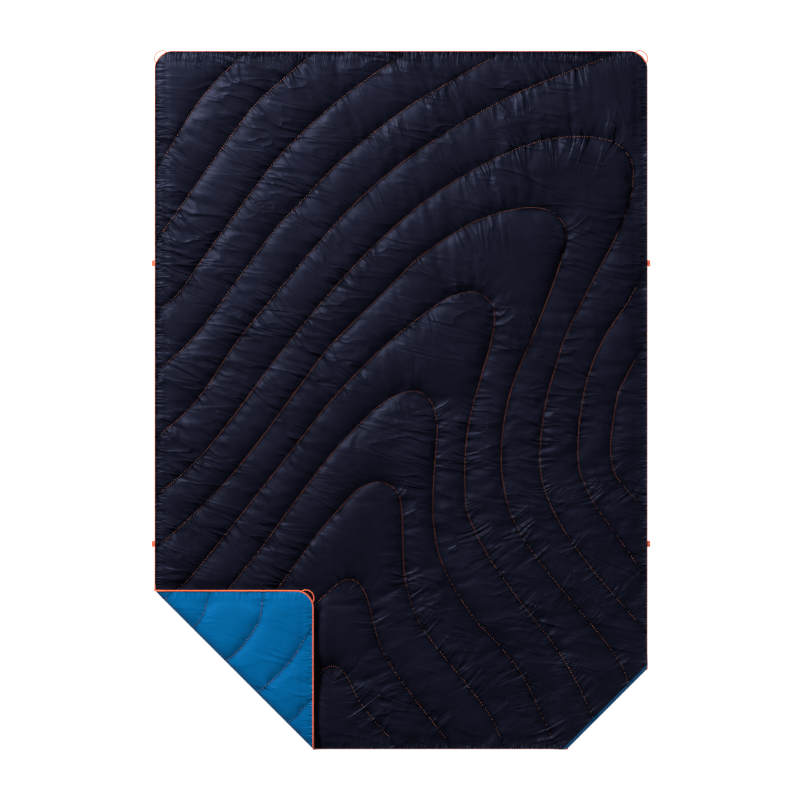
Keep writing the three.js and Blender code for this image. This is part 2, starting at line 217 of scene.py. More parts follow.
# %% Quilting lines
QUILT_POINTS = [
    [(-633, 651), (-555, 778), (-496, 852), (-440, 908)],
    [(-636, 452), (-542, 585), (-440, 727), (-384, 797), (-319, 856), (-255, 910)],
    [(-639, 247), (-590, 292), (-523, 388), (-341, 633), (-225, 751), (-118, 840), (-19, 907)],
    [(-636, 90), (-571, 150), (-502, 233), (-351, 439), (-276, 521), (-156, 644), (-3, 769),
     (105, 836), (233, 910)],
    [(-639, -87), (-582, -39), (-523, 30), (-437, 158), (-335, 284), (-182, 464), (-46, 596),
     (89, 695), (247, 789), (370, 847), (537, 912)],
    [(-639, -244), (-558, -173), (-478, -82), (-310, 141), (-185, 292), (-51, 432), (97, 555),
     (258, 649), (368, 691), (445, 704), (518, 703), (577, 686), (612, 649), (622, 606), (612, 529),
     (577, 440), (499, 290), (445, 180), (416, 94), (389, -1), (374, -107), (373, -182),
     (392, -260), (445, -362), (523, -466), (628, -589)],
    [(-633, -378), (-563, -313), (-472, -223), (-386, -118), (-276, 30), (-182, 152), (-40, 292),
     (48, 380), (169, 462), (255, 498), (335, 515), (394, 508), (429, 482), (443, 440), (429, 373),
     (401, 292), (351, 166), (310, 70), (284, -16), (270, -113), (271, -201), (292, -298),
     (335, -381), (412, -484), (563, -668), (604, -746), (625, -848)],
    [(-639, -542), (-550, -459), (-384, -252), (-287, -129), (-185, 0), (-83, 107), (8, 188),
     (107, 262), (164, 286), (204, 287), (236, 266), (251, 228), (241, 153), (217, 70), (185, -50),
     (172, -148), (172, -241), (180, -306), (231, -413), (319, -539), (390, -629), (452, -722),
     (507, -832), (534, -904)],
    [(-633, -651), (-580, -631), (-507, -561), (-393, -421), (-300, -295), (-199, -162),
     (-126, -80), (-54, -13), (-3, 16), (35, 24), (64, 13), (86, -16), (97, -67), (94, -134),
     (87, -228), (87, -322), (102, -413), (137, -494), (199, -588), (266, -660), (333, -751),
     (402, -901)],
    [(-633, -798), (-582, -790), (-523, -754), (-475, -706), (-400, -604), (-271, -424),
     (-199, -330), (-126, -250), (-94, -228), (-62, -220), (-32, -227), (-11, -245), (0, -276),
     (5, -349), (7, -429), (13, -488), (40, -578), (94, -660), (228, -829), (266, -904)],
    [(-531, -910), (-470, -872), (-392, -791), (-298, -657), (-225, -545), (-199, -520),
     (-169, -492), (-142, -480), (-118, -487), (-99, -510), (-83, -555), (-56, -655), (-3, -746),
     (118, -904)],
    [(-350, -910), (-309, -869), (-219, -735), (-201, -718), (-185, -712), (-164, -719),
     (-145, -740), (-103, -818), (-31, -904)],
    [(628, 299), (601, 252), (542, 161), (499, 56), (478, -59), (474, -140), (480, -193),
     (514, -271), (566, -346), (629, -435)],
    [(626, 106), (604, 64), (580, 11), (562, -113), (566, -174), (585, -217), (631, -268)],
]
print(len(QUILT_POINTS), "lines through", sum(len(points) for points in QUILT_POINTS), "points")

# %% Smooth lines through the points


def through(points, per_span=40):
    """A Catmull-Rom curve through the points, as many points."""
    p = np.array(points, float)
    p = np.vstack([2 * p[0] - p[1], p, 2 * p[-1] - p[-2]])
    t = np.linspace(0, 1, per_span, endpoint=False)[:, None]
    spans = []
    for a, b, c, d in zip(p, p[1:], p[2:], p[3:]):
        spans.append(0.5 * (2 * b + (c - a) * t + (2 * a - 5 * b + 4 * c - d) * t ** 2
                            + (3 * b - a - 3 * c + d) * t ** 3))
    return np.vstack(spans + [p[-2:-1]])


def evenly(points, step):
    """The same line with its points an even step apart."""
    points = np.asarray(points, float)
    along = np.concatenate([[0], np.cumsum(np.linalg.norm(np.diff(points, axis=0), axis=1))])
    count = max(2, int(round(along[-1] / step)) + 1)
    stations = np.linspace(0, along[-1], count)
    return np.stack([np.interp(stations, along, points[:, i]) for i in range(points.shape[1])], axis=1)


quilt = [evenly(through(points), 1.0) for points in QUILT_POINTS]
print("sewn length:", round(sum(len(line) for line in quilt) * MM, 1), "m in", len(quilt), "lines")

# %% [markdown]
# ## The puffed shell
# Between the seams a shell is a little larger than the gap it spans, and the wadding pushes it up,
# so it crowns in the middle of each channel and puckers at right angles to the stitches. Cloth
# simulation gives that for nothing: a flat sheet is pinned along the seams and edges, its rest size
# is made a few percent larger, and an even pressure lifts it. Grid points next to a seam are first
# moved onto it, so the seams run smoothly across the grid.

# %% The sheet's grid
CELL = 6.0
COLUMNS = int(round(2 * EDGE_X / CELL))
ROWS = int(round(2 * EDGE_Y / CELL))


def round_corners(x, y):
    """Moves the square corners of the sheet onto round ones."""
    core_x, core_y = EDGE_X - CORNER_RADIUS, EDGE_Y - CORNER_RADIUS
    u = np.clip((np.abs(x) - core_x) / CORNER_RADIUS, 0, 1)
    v = np.clip((np.abs(y) - core_y) / CORNER_RADIUS, 0, 1)
    at_corner = (u > 0) & (v > 0)
    new_x = np.sign(x) * (core_x + CORNER_RADIUS * u * np.sqrt(1 - v * v / 2))
    new_y = np.sign(y) * (core_y + CORNER_RADIUS * v * np.sqrt(1 - u * u / 2))
    return np.where(at_corner, new_x, x), np.where(at_corner, new_y, y)


def cells_of(grid):
    """The four corner numbers of each cell of a grid of point numbers."""
    corners = (grid[:-1, :-1], grid[:-1, 1:], grid[1:, 1:], grid[1:, :-1])
    return np.stack(corners, axis=-1).reshape(-1, 4)


grid_x, grid_y = np.meshgrid(np.linspace(-EDGE_X, EDGE_X, COLUMNS + 1),
                             np.linspace(-EDGE_Y, EDGE_Y, ROWS + 1))
square = np.stack([grid_x.ravel(), grid_y.ravel()], axis=1)
flat = np.stack(round_corners(square[:, 0], square[:, 1]), axis=1)
on_edge = (np.abs(square[:, 0]) > EDGE_X - 0.1) | (np.abs(square[:, 1]) > EDGE_Y - 0.1)
index = np.arange(len(flat)).reshape(ROWS + 1, COLUMNS + 1)
quads = cells_of(index)
print("grid of", COLUMNS, "by", ROWS, "cells")

# %% The nearest seam to each grid point
LINE_GAP = 7000.0
RUN_ON = 40.0
END_SPAN = 20


def run_on(line):
    """The line carried straight on past both ends, out to the edge seam."""
    start_step = (line[0] - line[END_SPAN]) / END_SPAN
    end_step = (line[-1] - line[-1 - END_SPAN]) / END_SPAN
    start = line[0] + start_step * np.arange(RUN_ON, 0, -1)[:, None]
    end = line[-1] + end_step * np.arange(1, RUN_ON + 1)[:, None]
    return np.vstack([start, line, end])


def tree_of(points):
    tree = kdtree.KDTree(len(points))
    for i, point in enumerate(points):
        tree.insert((point[0], point[1], 0), i)
    tree.balance()
    return tree


creases = [run_on(line) for line in quilt]
seam_points = np.vstack(creases)
seam_along = np.concatenate([np.arange(len(line)) + LINE_GAP * i for i, line in enumerate(creases)])
seam_tree = tree_of(seam_points)
nearest = [seam_tree.find((x, y, 0)) for x, y in flat]
seam_index = np.array([found[1] for found in nearest])
seam_distance = np.array([found[2] for found in nearest])
print("grid points are up to", round(float(seam_distance.max())), "mm from a seam")

# %% Move the nearest points onto the seams
SNAP_SHARE = 0.5
SHORT_SHARE = 0.3
in_panel = (np.abs(seam_points[:, 0]) < EDGE_X) & (np.abs(seam_points[:, 1]) < EDGE_Y)
on_seam = (seam_distance < SNAP_SHARE * CELL) & ~on_edge & in_panel[seam_index]
snapped = flat.copy()
snapped[on_seam] = seam_points[seam_index[on_seam]]
edges = np.vstack([np.stack([index[:, :-1].ravel(), index[:, 1:].ravel()], axis=1),
                   np.stack([index[:-1].ravel(), index[1:].ravel()], axis=1)])
short = np.linalg.norm(snapped[edges[:, 0]] - snapped[edges[:, 1]], axis=1) < SHORT_SHARE * CELL
for a, b in edges[short]:
    loser = a if seam_distance[a] > seam_distance[b] else b
    snapped[loser] = flat[loser]
    on_seam[loser] = False
print(len(flat), "points,", int(on_seam.sum()), "of them on a seam")

# %% [markdown]
# The simulation runs for a few dozen frames with no gravity.

# %% Cloth settings
FRAMES = 24
EXTRA_CLOTH = 0.035
CLOTH_SETTINGS = {
    "quality": 6,
    "mass": 0.15,
    "tension_stiffness": 30,
    "compression_stiffness": 30,
    "shear_stiffness": 8,
    "bending_stiffness": 0.02,
    "air_damping": 2,
    "use_pressure": True,
    "uniform_pressure_force": 6.0,
    "shrink_min": -EXTRA_CLOTH,
}
print("simulate", FRAMES, "frames with", f"{EXTRA_CLOTH:.1%}", "extra cloth")

# %% The simulation


def mesh_object(name, points, faces):
    mesh = bpy.data.meshes.new(name)
    mesh.from_pydata([tuple(p) for p in points], [], [tuple(f) for f in faces])
    mesh.update()
    obj = bpy.data.objects.new(name, mesh)
    scene.collection.objects.link(obj)
    return obj


def simulate(points, faces, pinned):
    sheet = mesh_object("puffing_sheet", np.column_stack([points, np.zeros(len(points))]) * MM, faces)
    group = sheet.vertex_groups.new(name="sewn")
    group.add([int(i) for i in np.flatnonzero(pinned)], 1.0, "REPLACE")
    cloth = sheet.modifiers.new("puff", "CLOTH")
    settings = cloth.settings
    settings.vertex_group_mass = "sewn"
    for label, value in CLOTH_SETTINGS.items():
        setattr(settings, label, value)
    settings.effector_weights.gravity = 0
    cloth.collision_settings.use_collision = False
    cloth.point_cache.frame_start = 1
    cloth.point_cache.frame_end = FRAMES
    for number in range(1, FRAMES + 1):
        scene.frame_set(number)
    puffed = sheet.evaluated_get(bpy.context.evaluated_depsgraph_get())
    result = np.empty(len(points) * 3)
    puffed.data.vertices.foreach_get("co", result)
    bpy.data.objects.remove(sheet)
    scene.frame_set(1)
    return result.reshape(-1, 3) / MM


# %% Puff the sheet
edge_distance = np.minimum(EDGE_X - np.abs(flat[:, 0]), EDGE_Y - np.abs(flat[:, 1]))
pin_distance = np.where(on_seam | on_edge, 0, np.minimum(seam_distance, edge_distance))
puff = simulate(snapped, quads, on_seam | on_edge)
print("puff height:", np.percentile(puff[:, 2], [0, 5, 50, 95, 100]).round(1), "mm")

# %% [markdown]
# ## Settling the two shells
# Real wadding stops a wide channel from rising without end, so the heights are eased towards a
# limit. The lining lies on the ground and is pulled smoother by the weight on it, so it takes an
# evened-out copy of the same sheet.

# %% Sizes of the settled shells
FACE_LIMIT = 16.0
LINING_LIMIT = 9.4
SHELL_GAP = 0.35
CALM_ROUNDS = 14
WAVE_SWING = 1.2
CALM_WAVES = (((0.021, 0.013), 0.4), ((-0.012, 0.024), 2.1), ((0.009, -0.031), 4.0))
HEM_WIDTH = 30.0
HEM_CREASE = 0.18
HEM_CREASE_RUN = 6.0
print(f"limits: face {FACE_LIMIT} mm, lining {LINING_LIMIT} mm")

# %% Face and lining heights


def even_out(values, rounds, pinned):
    """Averages each grid value with its neighbours and keeps the pinned ones."""
    grid = values.reshape(ROWS + 1, COLUMNS + 1).copy()
    held = pinned.reshape(grid.shape)
    for _ in range(rounds):
        around = np.pad(grid, 1, mode="edge")
        mean = (around[:-2, 1:-1] + around[2:, 1:-1] + around[1:-1, :-2] + around[1:-1, 2:]) / 4
        grid = np.where(held, grid, 0.5 * grid + 0.5 * mean)
    return grid.ravel()


pinned = on_seam | on_edge
lifted = np.maximum(puff[:, 2], 0)
calm = even_out(lifted, CALM_ROUNDS, pinned)
waves = sum(np.sin(flat @ np.array(wave) + phase) for wave, phase in CALM_WAVES) / len(CALM_WAVES)
lively = smooth(0.5 + WAVE_SWING * waves)
face_lift = lively * even_out(lifted, 1, pinned) + (1 - lively) * calm
hem_crease = 1 - HEM_CREASE * np.exp(-((edge_distance - HEM_WIDTH) / HEM_CREASE_RUN) ** 2)
face_height = FACE_LIMIT * np.tanh(face_lift / FACE_LIMIT) * hem_crease + SHELL_GAP
lining_height = LINING_LIMIT * np.tanh(calm / LINING_LIMIT) * hem_crease + SHELL_GAP
sheet_x = even_out(puff[:, 0], 1, pinned)
sheet_y = even_out(puff[:, 1], 1, pinned)
print(f"face up to {face_height.max():.1f} mm, lining down to {lining_height.max():.1f} mm")

# %% [markdown]
# ## Cutting the shells
# Each shell is cut on the flat panel along the fold lines, and each part is then laid with its own
# body. Every point also keeps its place along the nearest seam and its distance from it in a UV map,
# which the fabric's fine wrinkles follow.

# %% Seam map and hem
nearer_x = EDGE_X - np.abs(flat[:, 0]) < EDGE_Y - np.abs(flat[:, 1])
edge_along = np.where(nearer_x, flat[:, 1], flat[:, 0])
MAPS = {"seam": np.column_stack([seam_along[seam_index], seam_distance]) * MM,
        "edge": np.column_stack([edge_along, edge_distance]) * MM}
FAR_FROM_SEAM = 1.0
SEAM_JUMP = 0.03
HEM_LIFT = 2.1
HEM_RUN = 9.0
HEM_OVERHANG = 0.4
hem = 1 - smooth(edge_distance / HEM_RUN)
outward_x = HEM_OVERHANG * hem * np.sign(sheet_x) * (EDGE_X - np.abs(flat[:, 0]) < HEM_RUN)
outward_y = HEM_OVERHANG * hem * np.sign(sheet_y) * (EDGE_Y - np.abs(flat[:, 1]) < HEM_RUN)
print("maps:", ", ".join(MAPS))

# %% A shell on the flat panel


def panel_sheet(name, heights, hem_side=0):
    """The whole shell as one flat-panel mesh, in millimetres, with its seam map."""
    over = abs(hem_side)
    points = np.column_stack([sheet_x + over * outward_x, sheet_y + over * outward_y,
                              heights + HEM_LIFT * hem_side * hem])
    obj = mesh_object(name, points, quads)
    loops = np.empty(len(obj.data.loops), int)
    obj.data.loops.foreach_get("vertex_index", loops)
    for map_name, values in MAPS.items():
        corners = values[loops].reshape(-1, 4, 2)
        jumps = np.ptp(corners[:, :, 0], axis=1) > SEAM_JUMP
        corners[jumps] = (0, FAR_FROM_SEAM)
        layer = obj.data.uv_layers.new(name=map_name)
        layer.data.foreach_set("uv", corners.astype(np.float32).ravel())
    return obj


# %% Cutting a shell


def cut(obj, point, towards):
    """Cuts a mesh with an upright plane and keeps the side that the direction points to."""
    work = bmesh.new()
    work.from_mesh(obj.data)
    geometry = work.verts[:] + work.edges[:] + work.faces[:]
    bmesh.ops.bisect_plane(work, geom=geometry, dist=1e-3, plane_co=point, plane_no=towards,
                           clear_inner=True)
    work.to_mesh(obj.data)
    work.free()


FRONT_IN = (1 / ROOT2, 1 / ROOT2, 0)
UNDER_IN = (-1 / ROOT2, 1 / ROOT2, 0)


def shifted(pivot, direction, distance):
    return tuple(pivot[i] + direction[i] * distance for i in range(3))


def opposite(direction):
    return tuple(-value for value in direction)


print("cuts keep the side towards", FRONT_IN[:2], "and", UNDER_IN[:2])

# %% Laying a shell


def coordinates(mesh):
    points = np.empty(len(mesh.vertices) * 3)
    mesh.vertices.foreach_get("co", points)
    return points.reshape(-1, 3)


def lay_object(obj, body):
    """Moves a flat-panel mesh to its laid place, in metres, and shades it smooth."""
    points = coordinates(obj.data)
    placed = LAY[body](points[:, 0], points[:, 1], points[:, 2]) * MM
    obj.data.vertices.foreach_set("co", placed.ravel())
    obj.data.shade_smooth()
    obj.data.update()
    return obj


def flip(obj):
    obj.data.flip_normals()
    return obj


def join(target, other):
    with bpy.context.temp_override(active_object=target, selected_editable_objects=[target, other]):
        bpy.ops.object.join()
    return target


# %% The blanket's shells
face = panel_sheet("face_shell_cloth", face_height, 1)
cut(face, tuple(FRONT_PIVOT), FRONT_IN)
cut(face, shifted(UNDER_PIVOT, UNDER_IN, LIP), UNDER_IN)
lay_object(face, "blanket")

lining = flip(panel_sheet("lining_shell_cloth", -lining_height, -1))
cut(lining, tuple(FRONT_PIVOT), FRONT_IN)
cut(lining, tuple(UNDER_PIVOT), UNDER_IN)
lay_object(lining, "blanket")
lip = panel_sheet("rolled_lip", face_height, 1)
cut(lip, tuple(UNDER_PIVOT), UNDER_IN)
cut(lip, shifted(UNDER_PIVOT, UNDER_IN, LIP), opposite(UNDER_IN))
lay_object(lip, "blanket")
join(lining, lip)
print("face:", len(face.data.polygons), "faces; lining:", len(lining.data.polygons), "faces")

# %% The flaps' shells
flap_shells = {}
for body, pivot, inwards in (("front_flap", FRONT_PIVOT, FRONT_IN), ("under_flap", UNDER_PIVOT, UNDER_IN)):
    flap_face = panel_sheet(body + "_face_cloth", face_height)
    flap_lining = flip(panel_sheet(body + "_lining_cloth", -lining_height))
    for shell in (flap_face, flap_lining):
        cut(shell, shifted(pivot, inwards, -FOLD_GAP), opposite(inwards))
        lay_object(shell, body)
    flap_shells[body] = (flap_face, flap_lining)
    print(body, "shells:", len(flap_face.data.polygons), "faces each")

# %% [markdown]
# ## Wadding
# The wadding can't be seen, but each channel holds its own closed pad of it. The pads are made from
# every third grid point, kept clear of the seams and shells.

# %% Sizes of the pads
STRIDE = 3
SEAM_CLEARANCE = 9.0
PAD_SHARE = 0.6
FRONT_CLEARANCE = 20
UNDER_CLEARANCE = 24
FLAP_CLEARANCE = 20
print("pads keep", SEAM_CLEARANCE, "mm from the seams")

# %% One body's pads


def shallow(values):
    """The lowest value within three grid cells, so that no pad reaches into a dip between them."""
    grid = values.reshape(ROWS + 1, COLUMNS + 1)
    for _ in range(STRIDE):
        around = np.pad(grid, 1, mode="edge")
        shifts = [around[i:i + ROWS + 1, j:j + COLUMNS + 1] for i in range(3) for j in range(3)]
        grid = np.minimum.reduce(shifts)
    return grid.ravel()


def wadding(name, body, inside):
    cells = cells_of(index[::STRIDE, ::STRIDE])
    allowed = (pin_distance > SEAM_CLEARANCE) & inside(sheet_x, sheet_y)
    cells = cells[allowed[cells].all(axis=1)]
    used = np.unique(cells)
    number = {int(v): i for i, v in enumerate(used)}
    fill_height = PAD_SHARE * np.minimum(shallow(face_height), shallow(lining_height))[used]
    top = np.column_stack([sheet_x[used], sheet_y[used], fill_height])
    bottom = np.column_stack([sheet_x[used], sheet_y[used], -fill_height])
    faces = [[number[int(v)] for v in cell] for cell in cells]
    sides = [side for cell in faces for side in zip(cell, cell[1:] + cell[:1])]
    inner = set(sides)
    count = len(used)
    walls = [[b, a, a + count, b + count] for a, b in sides if (b, a) not in inner]
    under = [[v + count for v in reversed(cell)] for cell in faces]
    pads = mesh_object(name, np.vstack([top, bottom]), faces + under + walls)
    return lay_object(pads, body)


# %% Wadding pads


def clear_of_folds(x, y):
    return (inside_front(x, y) > FRONT_CLEARANCE) & (inside_under(x, y) > UNDER_CLEARANCE)


pads = {
    "blanket": wadding("wadding_pads", "blanket", clear_of_folds),
    "front_flap": wadding("front_flap_wadding_pads", "front_flap",
                          lambda x, y: inside_front(x, y) < -FLAP_CLEARANCE),
    "under_flap": wadding("under_flap_wadding_pads", "under_flap",
                          lambda x, y: inside_under(x, y) < -FLAP_CLEARANCE),
}
print("wadding pads:", {body: len(pad.data.polygons) for body, pad in pads.items()})

# %% [markdown]
# ## Materials
# The finishes are satin nylon in navy and blue, orange cord, webbing and thread, and pale wadding.
# Effects that more than one finish uses are shader node groups: a plain weave, fine wrinkles that
# follow the seams with a painted shade in their grooves, and a slow change of tone. Each group puts
# out only values, and each material keeps its own shader.

# %% Shader helpers


def new_group(name, inputs, outputs):
    group = bpy.data.node_groups.new(name, "ShaderNodeTree")
    for label, kind, value in inputs:
        item = group.interface.new_socket(label, in_out="INPUT", socket_type=kind)
        if value is not None:
            item.default_value = value
    for label in outputs:
        group.interface.new_socket(label, in_out="OUTPUT", socket_type="NodeSocketFloat")
    return group, group.nodes.new("NodeGroupInput"), group.nodes.new("NodeGroupOutput")


def math_node(tree, operation, first, second=None):
    node = tree.nodes.new("ShaderNodeMath")
    node.operation = operation
    for socket, value in zip(node.inputs, (first, second)):
        if value is None:
            continue
        if isinstance(value, (int, float)):
            socket.default_value = value
        else:
            tree.links.new(value, socket)
    return node.outputs[0]


def noise_node(tree, vector, scale, detail, roughness=0.5):
    node = tree.nodes.new("ShaderNodeTexNoise")
    node.inputs["Scale"].default_value = scale
    node.inputs["Detail"].default_value = detail
    node.inputs["Roughness"].default_value = roughness
    tree.links.new(vector, node.inputs["Vector"])
    return node.outputs["Fac"]


# %% [markdown]
# A plain weave is two sets of threads that cross: two waves at right angles, multiplied, at the
# thread's own pitch.

# %% Weave group
weave_group, weave_in, weave_out = new_group(
    "plain_weave", [("Vector", "NodeSocketVector", None), ("Pitch", "NodeSocketFloat", 0.0004)], ["Height"])
separate = weave_group.nodes.new("ShaderNodeSeparateXYZ")
weave_group.links.new(weave_in.outputs["Vector"], separate.inputs[0])
turns = math_node(weave_group, "DIVIDE", 2 * math.pi, weave_in.outputs["Pitch"])
across = math_node(weave_group, "SINE", math_node(weave_group, "MULTIPLY", separate.outputs[0], turns))
down = math_node(weave_group, "SINE", math_node(weave_group, "MULTIPLY", separate.outputs[1], turns))
weave_group.links.new(math_node(weave_group, "MULTIPLY", across, down), weave_out.inputs["Height"])
print("made group", weave_group.name)

# %% [markdown]
# Thin cloth over wadding creases in three ways: puckers at right angles to each seam, short gathers
# along the edge, and a few free creases where the wadding has slipped. Each is noise that is
# stretched one way and folded into a sharp ridge, and slow masks leave smooth patches between them.
# The group also puts out a mask of painted shade. It is strongest on each seam and fades away from
# it, and it darkens the colour where the groove's shade falls.

# %% Wrinkle helpers
RIDGE_DISTORTION = 0.7
RIDGE_STEEPNESS = 5.0
LEFT_AT_REACH = 0.37


def ridges(tree, vector, scale, turn, sharpness):
    """Noise stretched by a scale, turned, and folded into sharp crests between 0 and 1."""
    mapping = tree.nodes.new("ShaderNodeMapping")
    mapping.vector_type = "TEXTURE"
    mapping.inputs["Rotation"].default_value = (0, 0, math.radians(turn))
    mapping.inputs["Scale"].default_value = (scale[0], scale[1], 1)
    tree.links.new(vector, mapping.inputs["Vector"])
    noise = noise_node(tree, mapping.outputs[0], 1.0, 2.0, 0.5)
    noise.node.inputs["Distortion"].default_value = RIDGE_DISTORTION
    folded = math_node(tree, "ABSOLUTE", math_node(tree, "SUBTRACT", noise, 0.5))
    crest = math_node(tree, "SUBTRACT", 1.0, math_node(tree, "MULTIPLY", folded, RIDGE_STEEPNESS))
    return math_node(tree, "POWER", math_node(tree, "MAXIMUM", crest, 0.0), sharpness)


def fade(tree, distance, reach):
    """1 at no distance, falling to a little over a third at each further reach."""
    return math_node(tree, "POWER", LEFT_AT_REACH, math_node(tree, "DIVIDE", distance, reach))


def patches(tree, vector, scale, low, high):
    """Slow noise as soft-edged patches: 0 in the smooth ones, 1 in the creased ones."""
    node = tree.nodes.new("ShaderNodeMapRange")
    node.inputs["From Min"].default_value = low
    node.inputs["From Max"].default_value = high
    tree.links.new(noise_node(tree, vector, scale, 1.0), node.inputs["Value"])
    return node.outputs[0]


def times(tree, *values):
    product = values[0]
    for value in values[1:]:
        product = math_node(tree, "MULTIPLY", product, value)
    return product


# %% Wrinkle group
PUCKER_RIDGES = ((0.042, 0.2), 12, 1.3)
PUCKER_PATCHES = (7.0, 0.42, 0.62)
GATHER_RIDGES = ((0.016, 0.08), 0, 1.2)
GATHER_REACH = 0.016
FREE_RIDGES = ((0.2, 0.055), -14, 1.8)
FREE_PATCHES = (4.0, 0.38, 0.62)
wrinkle_group, wrinkle_in, wrinkle_out = new_group(
    "cloth_wrinkles",
    [("Seam", "NodeSocketVector", None), ("Edge", "NodeSocketVector", None),
     ("Vector", "NodeSocketVector", None), ("Reach", "NodeSocketFloat", 0.06),
     ("Gathers", "NodeSocketFloat", 1.0), ("Free", "NodeSocketFloat", 0.8),
     ("Painted Shade Width", "NodeSocketFloat", 0.008)],
    ["Height", "Painted Groove Shade"])
seam_parts = wrinkle_group.nodes.new("ShaderNodeSeparateXYZ")
edge_parts = wrinkle_group.nodes.new("ShaderNodeSeparateXYZ")
wrinkle_group.links.new(wrinkle_in.outputs["Seam"], seam_parts.inputs[0])
wrinkle_group.links.new(wrinkle_in.outputs["Edge"], edge_parts.inputs[0])
place_in = wrinkle_in.outputs["Vector"]
print("wrinkle inputs:", ", ".join(socket.name for socket in wrinkle_in.outputs if socket.name))

# %% The three kinds of crease, added up
puckers = times(wrinkle_group,
                ridges(wrinkle_group, wrinkle_in.outputs["Seam"], *PUCKER_RIDGES),
                fade(wrinkle_group, seam_parts.outputs[1], wrinkle_in.outputs["Reach"]),
                patches(wrinkle_group, place_in, *PUCKER_PATCHES))
gathers = times(wrinkle_group,
                ridges(wrinkle_group, wrinkle_in.outputs["Edge"], *GATHER_RIDGES),
                fade(wrinkle_group, edge_parts.outputs[1], GATHER_REACH),
                wrinkle_in.outputs["Gathers"])
free_creases = times(wrinkle_group,
                     ridges(wrinkle_group, place_in, *FREE_RIDGES),
                     patches(wrinkle_group, place_in, *FREE_PATCHES),
                     wrinkle_in.outputs["Free"])
held = math_node(wrinkle_group, "ADD", puckers, gathers)
total = math_node(wrinkle_group, "ADD", held, free_creases)
wrinkle_group.links.new(total, wrinkle_out.inputs["Height"])
# Painted shade: a mask that is 1 on each seam and fades away from it, which darkens the cloth's colour in
# the grooves.
groove_shade = fade(wrinkle_group, seam_parts.outputs[1], wrinkle_in.outputs["Painted Shade Width"])
wrinkle_group.links.new(groove_shade, wrinkle_out.inputs["Painted Groove Shade"])
print("made group", wrinkle_group.name)

# %% [markdown]
# No dyed cloth has one exact tone. Slow noise over a hand's width gives a mask that shifts colour
# and gloss a little.

# %% Tone group
WIDE_TONE = 6.0
FINE_TONE = 60.0
FINE_SHARE = 0.3
tone_group, tone_in, tone_out = new_group("slow_tone", [("Vector", "NodeSocketVector", None)], ["Mask"])
wide_tone = noise_node(tone_group, tone_in.outputs["Vector"], WIDE_TONE, 3.0)
fine_tone = noise_node(tone_group, tone_in.outputs["Vector"], FINE_TONE, 2.0)
both = math_node(tone_group, "MULTIPLY_ADD", fine_tone, FINE_SHARE)
tone_group.links.new(math_node(tone_group, "MULTIPLY", wide_tone, 1 - FINE_SHARE), both.node.inputs[2])
tone_group.links.new(both, tone_out.inputs["Mask"])
print("made group", tone_group.name)

# %% [markdown]
# ### Satin nylon
# Down-proof nylon is dense, thin and calendered, so it has a soft broad gloss. At grazing angles
# its threads scatter the light instead of mirroring it, so the gloss widens there.

# %% Material helpers


def group_node(tree, group):
    node = tree.nodes.new("ShaderNodeGroup")
    node.node_tree = group
    return node


def new_material(name):
    material = bpy.data.materials.new(name)
    material.use_nodes = True
    tree = material.node_tree
    shader = tree.nodes["Principled BSDF"]
    coordinates_node = tree.nodes.new("ShaderNodeTexCoord")
    return material, tree, shader, coordinates_node


# %% Colours, ranges and bumps
TONE_SPAN = (0.3, 0.7)


def two_tones(tree, mask, dark, light):
    ramp = tree.nodes.new("ShaderNodeValToRGB")
    for element, position, color in zip(ramp.color_ramp.elements, TONE_SPAN, (dark, light)):
        element.position = position
        element.color = (*color, 1)
    tree.links.new(mask, ramp.inputs[0])
    return ramp.outputs[0]


def map_range(tree, value, low, high, span=TONE_SPAN):
    node = tree.nodes.new("ShaderNodeMapRange")
    node.inputs["From Min"].default_value, node.inputs["From Max"].default_value = span
    node.inputs["To Min"].default_value = low
    node.inputs["To Max"].default_value = high
    tree.links.new(value, node.inputs["Value"])
    return node.outputs[0]


def bump(tree, height, distance, normal=None):
    node = tree.nodes.new("ShaderNodeBump")
    node.inputs["Strength"].default_value = 1.0
    node.inputs["Distance"].default_value = distance
    tree.links.new(height, node.inputs["Height"])
    if normal is not None:
        tree.links.new(normal, node.inputs["Normal"])
    return node.outputs[0]


# %% Sheen and the widening gloss
SHEEN = 0.15
SHEEN_ROUGHNESS = 0.4
# GROOVE_SHADE is the share of the dark tone left in the bottom of each groove: painted shade.
GROOVE_SHADE = 0.15
WEAVE_DEPTH = 0.00004
GRAZING = (0.24, 0.5)
GRAZING_ROUGHNESS = 0.5
print("gloss widens by", GRAZING_ROUGHNESS, "at grazing angles")


def widened(tree, roughness):
    """The roughness, raised where the surface is seen at a grazing angle."""
    facing = tree.nodes.new("ShaderNodeLayerWeight")
    extra = map_range(tree, facing.outputs["Facing"], 0.0, GRAZING_ROUGHNESS, GRAZING)
    return math_node(tree, "ADD", roughness, extra)


# %% Nylon


